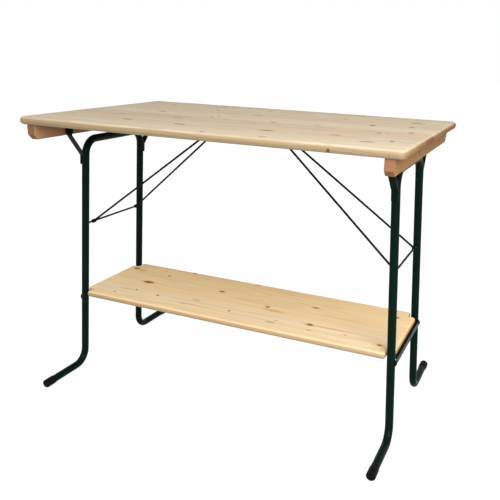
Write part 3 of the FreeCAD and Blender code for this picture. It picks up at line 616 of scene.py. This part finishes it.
def bolt_profile(length):
    """Hexagon bolt: the head lies below its seat at height 0, the shank stands above it."""
    dish_floor, dish_rim, dish_depth = 0.30 * FLAT_TO_FLAT, 0.36 * FLAT_TO_FLAT, 0.3 * MM
    washer, washer_height = 0.47 * FLAT_TO_FLAT, 0.4 * MM
    thread_turns = 5
    tip_radius = 1 * MM

    def profile(angle):
        reach = hexagon_reach(angle)
        crown, side = reversed(chamfered(reach, -HEAD_HEIGHT, -1))
        points = [(dish_floor, -HEAD_HEIGHT + dish_depth), (dish_rim, -HEAD_HEIGHT), crown, side]
        points += [(reach, -washer_height), (washer, -washer_height), (washer, 0), (BOLT_RADIUS, 0)]
        height = length - (thread_turns + 1) * THREAD_PITCH
        points.append((BOLT_RADIUS, height))
        for turn in range(thread_turns):
            points.append((BOLT_RADIUS - THREAD_DEPTH, height + 0.5 * THREAD_PITCH))
            height += THREAD_PITCH
            points.append((BOLT_RADIUS, height))
        points += [(BOLT_RADIUS - THREAD_DEPTH, length), (tip_radius, length)]
        return points
    return profile


def dome_profile(angle):
    """Domed bolt: a low round head below its seat at height 0, the shank above it."""
    rim = 0.8 * MM
    tip_chamfer = 1 * MM
    steps = 9
    points = []
    for step in range(1, steps + 1):
        turn = math.pi / 2 * step / steps
        points.append((DOME_RADIUS * math.sin(turn), -rim - (DOME_HEIGHT - rim) * math.cos(turn)))
    points += [(DOME_RADIUS, 0), (BOLT_RADIUS, 0), (BOLT_RADIUS, DOME_BOLT_LENGTH - tip_chamfer)]
    points.append((BOLT_RADIUS - tip_chamfer, DOME_BOLT_LENGTH))
    return points


def nut_profile(angle):
    """Hexagon nut with both faces chamfered round the bore."""
    reach = hexagon_reach(angle)
    bore = BOLT_RADIUS + 0.05 * MM
    bore_rim, rim_depth = BOLT_RADIUS + 0.5 * MM, 0.4 * MM
    crown, side = reversed(chamfered(reach, 0, -1))
    points = [(bore, rim_depth), (bore_rim, 0), crown, side]
    points += chamfered(reach, NUT_HEIGHT, 1)
    points += [(bore_rim, NUT_HEIGHT), (bore, NUT_HEIGHT - rim_depth)]
    return points


def screw_profile(length):
    """Wood screw: a low domed head with a cross recess below its seat, a tapered shank above it."""
    head_radius, head_height = 4.5 * MM, 3 * MM
    crown_radius = 2.6 * MM
    rim_height = 0.3 * MM
    recess_core, recess_arm, recess_taper = 0.7 * MM, 1.5 * MM, 0.4
    recess_floor, recess_rim = -1.2 * MM, 0.15 * MM - head_height
    shank_radius = 2 * MM
    point_length, point_radius = 6 * MM, 0.2 * MM

    def profile(angle):
        cross = recess_core + recess_arm * abs(math.cos(2 * angle)) ** 3
        points = [(recess_taper * cross, recess_floor), (cross, recess_rim), (crown_radius, -head_height)]
        for step in (0.75, 0.5, 0.25, 0.0):
            bulge = (head_radius - crown_radius) * math.sqrt(1 - step ** 2)
            points.append((crown_radius + bulge, -head_height * step - rim_height * (1 - step)))
        points += [(head_radius, 0), (shank_radius, 0), (shank_radius, length - point_length)]
        points.append((point_radius, length))
        return points
    return profile


def weld_bead(bm, path, radius):
    """A weld bead along a path: a round string whose ripples follow each other like scales."""
    ripple, ripple_depth = 1.8 * MM, 0.1
    blunt_end = 0.35
    segments = 10
    lengths = [0.0]
    for before, after in zip(path, path[1:]):
        lengths.append(lengths[-1] + (after - before).length)
    rings = []
    for number, spot in enumerate(path):
        ahead = path[min(number + 1, len(path) - 1)] - path[max(number - 1, 0)]
        sideways = ahead.orthogonal().normalized()
        upward = ahead.cross(sideways).normalized()
        from_end = min(lengths[number], lengths[-1] - lengths[number])
        swell = min(1.0, blunt_end + from_end / (2 * radius))
        wave = math.cos(2 * math.pi * lengths[number] / ripple)
        reach = radius * swell * (1 - ripple_depth + ripple_depth * wave)
        ring = []
        for k in range(segments):
            angle = 2 * math.pi * k / segments
            ring.append(bm.verts.new(spot + reach * (sideways * math.cos(angle) + upward * math.sin(angle))))
        rings.append(ring)
    add_rings(bm, rings)


def ring_path(middle, across, along, inward, radius, bar_radius, steps=64):
    """Points round a rod that stands on a round bar, whose surface falls away inward on both sides."""
    path = []
    for k in range(steps + 1):
        angle = 2 * math.pi * k / steps
        side = radius * math.cos(angle)
        fall = bar_radius - math.sqrt(bar_radius ** 2 - side ** 2)
        path.append(middle + across * side + along * radius * math.sin(angle) + inward * fall)
    return path


def straight_path(start, end, steps=60):
    """Points along a straight seam."""
    return [start.lerp(end, k / steps) for k in range(steps + 1)]


# A bead's own radius, and how far its middle stands off the rod or wire that it runs round. An arm's bead
# lies in the corner between arm and tube, where the tube's side has come in from its full radius.
ARM_BEAD = 2.3 * MM
ARM_BEAD_X = 10 * MM
ARM_BEAD_TUBE_Y = 12.4 * MM
ARM_BEAD_SPAN = (ARM_LOW + 1 * MM, ARM_KINK - 2 * MM)
ROD_BEAD, ROD_BEAD_STANDS_OFF = 1.5 * MM, 0.8 * MM
EYE_BEAD, EYE_BEAD_STANDS_OFF = 1.4 * MM, 0.6 * MM

for side, half in SIDES.items():
    steel_frame = half @ LEFT_FRAME
    arm_welds = bmesh.new()
    rod_welds = bmesh.new()
    eye_welds = bmesh.new()
    for end, sign in ENDS.items():
        # The right frame is the left one turned round, so its front is the left one's back.
        sign *= -HANDS[side]
        outward = UP_TO_PLUS_Y if sign > 0 else UP_TO_MINUS_Y
        cap = bmesh.new()
        mouth = Matrix.Translation((0, sign * (FOOT_REACH - CAP_LENGTH), FOOT_UP))
        turn_profile(cap, steel_frame @ mouth @ outward, cap_profile, segments=64)
        cap = finished_piece(f"{side}_{end}_foot_cap", cap, black_cap, f"{side}_frame")
        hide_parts(f"{side}_{end}_cap")

        for edge in (-1, 1):
            ends = []
            for height in ARM_BEAD_SPAN:
                gap_middle = (leg_y(height) + ARM_BEAD_TUBE_Y + ARM_INNER_Y) / 2
                ends.append(steel_frame @ Vector((edge * ARM_BEAD_X, sign * gap_middle, height)))
            weld_bead(arm_welds, straight_path(*ends), ARM_BEAD)

        leg_face = Vector((0, sign * (leg_y(ROD_UP) - TUBE_RADIUS), ROD_UP))
        path = ring_path(leg_face, Vector((1, 0, 0)), Vector((0, 0, -sign)), Vector((0, sign, 0)),
                         ROD_RADIUS + ROD_BEAD_STANDS_OFF, TUBE_RADIUS)
        weld_bead(rod_welds, [steel_frame @ spot for spot in path], ROD_BEAD)

        eye = LEFT_FRAME @ Vector((0, 0, ROD_UP)) + Vector((0, STAY_SHIFT + sign * STAY_EYE_Y, 0))
        wire_end = Vector((STAY_END.x, STAY_SHIFT + sign * STAY_END.y, STAY_END.z))
        heading = (wire_end - eye).normalized()
        sleeve_along = (Vector((0, 1, 0)) - heading * heading.y).normalized()
        sleeve_across = sleeve_along.cross(heading)
        path = ring_path(eye + heading * STAY_EYE_RADIUS, sleeve_across, sleeve_along, -heading,
                         STAY_RADIUS + EYE_BEAD_STANDS_OFF, STAY_EYE_RADIUS)
        weld_bead(eye_welds, [half @ spot for spot in path], EYE_BEAD)
    finished_piece(f"{side}_arm_welds", arm_welds, green_coat, f"{side}_frame")
    finished_piece(f"{side}_rod_welds", rod_welds, wire_coat, f"{side}_frame")
    finished_piece(f"{side}_eye_welds", eye_welds, wire_coat, f"{side}_stay")

    bolts = bmesh.new()
    for sign in ENDS.values():
        seat = Matrix.Translation((BAR_FACE_X, sign * leg_y(BAR_BOLT_UP), BAR_BOLT_UP))
        turn_profile(bolts, steel_frame @ seat @ UP_TO_PLUS_X, dome_profile)
    bolts = finished_piece(f"{side}_bar_bolts", bolts, black_steel, f"{side}_frame")
    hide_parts(f"{side}_shelf_bolts")

pivot = LEFT_FRAME @ Vector((0, 0, PIVOT_UP))
fasteners = {name: bmesh.new() for name in
             ("hinge_bolts", "hinge_nuts", "bracket_screws", "cleat_screws", "clip_screws")}
for side, half in SIDES.items():
    for sign in ENDS.values():
        inward = UP_TO_MINUS_Y if sign > 0 else UP_TO_PLUS_Y
        head_seat = (pivot.x, sign * (ARM_PIVOT_Y + ARM_THICKNESS + HINGE_GAP), pivot.z)
        turn_profile(fasteners["hinge_bolts"], half @ Matrix.Translation(head_seat) @ inward,
                     bolt_profile(HINGE_BOLT_LENGTH))
        nut_seat = (pivot.x, sign * (ARM_PIVOT_Y - HINGE_GAP - BRACKET_PLATE), pivot.z)
        turn_profile(fasteners["hinge_nuts"], half @ Matrix.Translation(nut_seat) @ inward, nut_profile)
        for y in BRACKET_SCREW_Y:
            seat = (-CLEAT_FACE_X + BRACKET_PLATE, sign * y, pivot.z)
            turn_profile(fasteners["bracket_screws"], half @ Matrix.Translation(seat) @ UP_TO_MINUS_X,
                         screw_profile(BRACKET_SCREW_LENGTH), SCREW_SEGMENTS)
    for y in CLEAT_SCREW_Y:
        seat = (HANDS[side] * CLEAT_MIDDLE_X, y, CLEAT_SCREW_SEAT)
        turn_profile(fasteners["cleat_screws"], Matrix.Translation(seat), screw_profile(CLEAT_SCREW_LENGTH),
                     SCREW_SEGMENTS)
    for x in CLIP_SCREW_X:
        seat = (x, STAY_SHIFT, UNDERSIDE - CLIP_PLATE)
        turn_profile(fasteners["clip_screws"], half @ Matrix.Translation(seat),
                     screw_profile(CLIP_SCREW_LENGTH), SCREW_SEGMENTS)
for name, bm in fasteners.items():
    piece = finished_piece(f"turned_{name}", bm, black_steel, "top")
    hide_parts(name)


# Studio

def softbox(name, place, target, size, power):
    """A square lamp turned towards its target, in metres and watts."""
    lamp = bpy.data.lights.new(name, "AREA")
    lamp.shape = "SQUARE"
    lamp.size = size
    lamp.energy = power
    holder = bpy.data.objects.new(name, lamp)
    holder.location = place
    holder.rotation_euler = (Vector(target) - Vector(place)).to_track_quat("-Z", "Y").to_euler()
    scene.collection.objects.link(holder)


def seen_directly(tree):
    """1 for camera, mirror and glass rays, 0 for the rays that light the table."""
    rays = add(tree, "ShaderNodeLightPath").outputs
    direct = add(tree, "ShaderNodeMath", {0: rays["Is Camera Ray"], 1: rays["Is Glossy Ray"]},
                 operation="MAXIMUM").outputs[0]
    return add(tree, "ShaderNodeMath", {0: direct, 1: rays["Is Transmission Ray"]},
               operation="MAXIMUM").outputs[0]


def white_studio(light):
    """White to the eye all round, with a plain level of light on the table."""
    world = bpy.data.worlds.new("white_studio")
    scene.world = world
    world.use_nodes = True
    tree = world.node_tree
    tree.nodes.clear()
    lighting = add(tree, "ShaderNodeBackground", {"Color": linear("#FFFFFF"), "Strength": light}).outputs[0]
    backdrop = add(tree, "ShaderNodeBackground", {"Color": linear("#FFFFFF"), "Strength": 1.0}).outputs[0]
    mixed = add(tree, "ShaderNodeMixShader", {0: seen_directly(tree), 1: lighting, 2: backdrop}).outputs[0]
    add(tree, "ShaderNodeOutputWorld", {"Surface": mixed})


def paper_floor(half_size):
    """Seamless white paper that keeps the table's soft shadow."""
    mesh = bpy.data.meshes.new("floor")
    corners = [(x * half_size, y * half_size, 0) for x, y in ((-1, -1), (1, -1), (1, 1), (-1, 1))]
    mesh.from_pydata(corners, [], [(0, 1, 2, 3)])
    floor = bpy.data.objects.new("floor", mesh)
    scene.collection.objects.link(floor)
    material, tree = new_material("white_paper")
    paper = add(tree, "ShaderNodeBsdfDiffuse", {"Color": linear("#909090")}).outputs[0]
    lift = add(tree, "ShaderNodeEmission", {"Color": linear("#FFFFFF"), "Strength": 0.9}).outputs[0]
    bright = add(tree, "ShaderNodeAddShader", {0: paper, 1: lift}).outputs[0]
    mixed = add(tree, "ShaderNodeMixShader", {0: seen_directly(tree), 1: paper, 2: bright}).outputs[0]
    add(tree, "ShaderNodeOutputMaterial", {"Surface": mixed})
    mesh.materials.append(material)


white_studio(light=0.47)
paper_floor(half_size=30.0)
softbox("key", place=(1.8, -2.2, 2.4), target=(0.1, -0.1, 0.8), size=2.6, power=130)
softbox("fill", place=(-3.2, -2.4, 2.0), target=(0, 0, 0.6), size=2.0, power=8)


# Camera at the photograph's viewing angle

SENSOR_WIDTH = 36
IMAGE_SIDE = 500
FOCAL_PIXELS = 646.3
AXIS_PIXEL = (271.7, 252.4)
CAMERA_PLACE = (1.0843, -2.2567, 1.3686)
CAMERA_YAW = math.radians(23.287)
CAMERA_PITCH = math.radians(17.728)
CAMERA_ROLL = math.radians(1.705)

lens = bpy.data.cameras.new("photo_camera")
lens.sensor_width = SENSOR_WIDTH
lens.lens = FOCAL_PIXELS / IMAGE_SIDE * SENSOR_WIDTH
lens.shift_x = (IMAGE_SIDE / 2 - AXIS_PIXEL[0]) / IMAGE_SIDE
lens.shift_y = (AXIS_PIXEL[1] - IMAGE_SIDE / 2) / IMAGE_SIDE
camera = bpy.data.objects.new("photo_camera", lens)
aim = Matrix.Rotation(CAMERA_YAW, 4, "Z") @ Matrix.Rotation(math.pi / 2 - CAMERA_PITCH, 4, "X")
camera.matrix_world = Matrix.Translation(CAMERA_PLACE) @ aim @ Matrix.Rotation(CAMERA_ROLL, 4, "Z")
scene.collection.objects.link(camera)
scene.camera = camera
scene.view_settings.view_transform = "Standard"
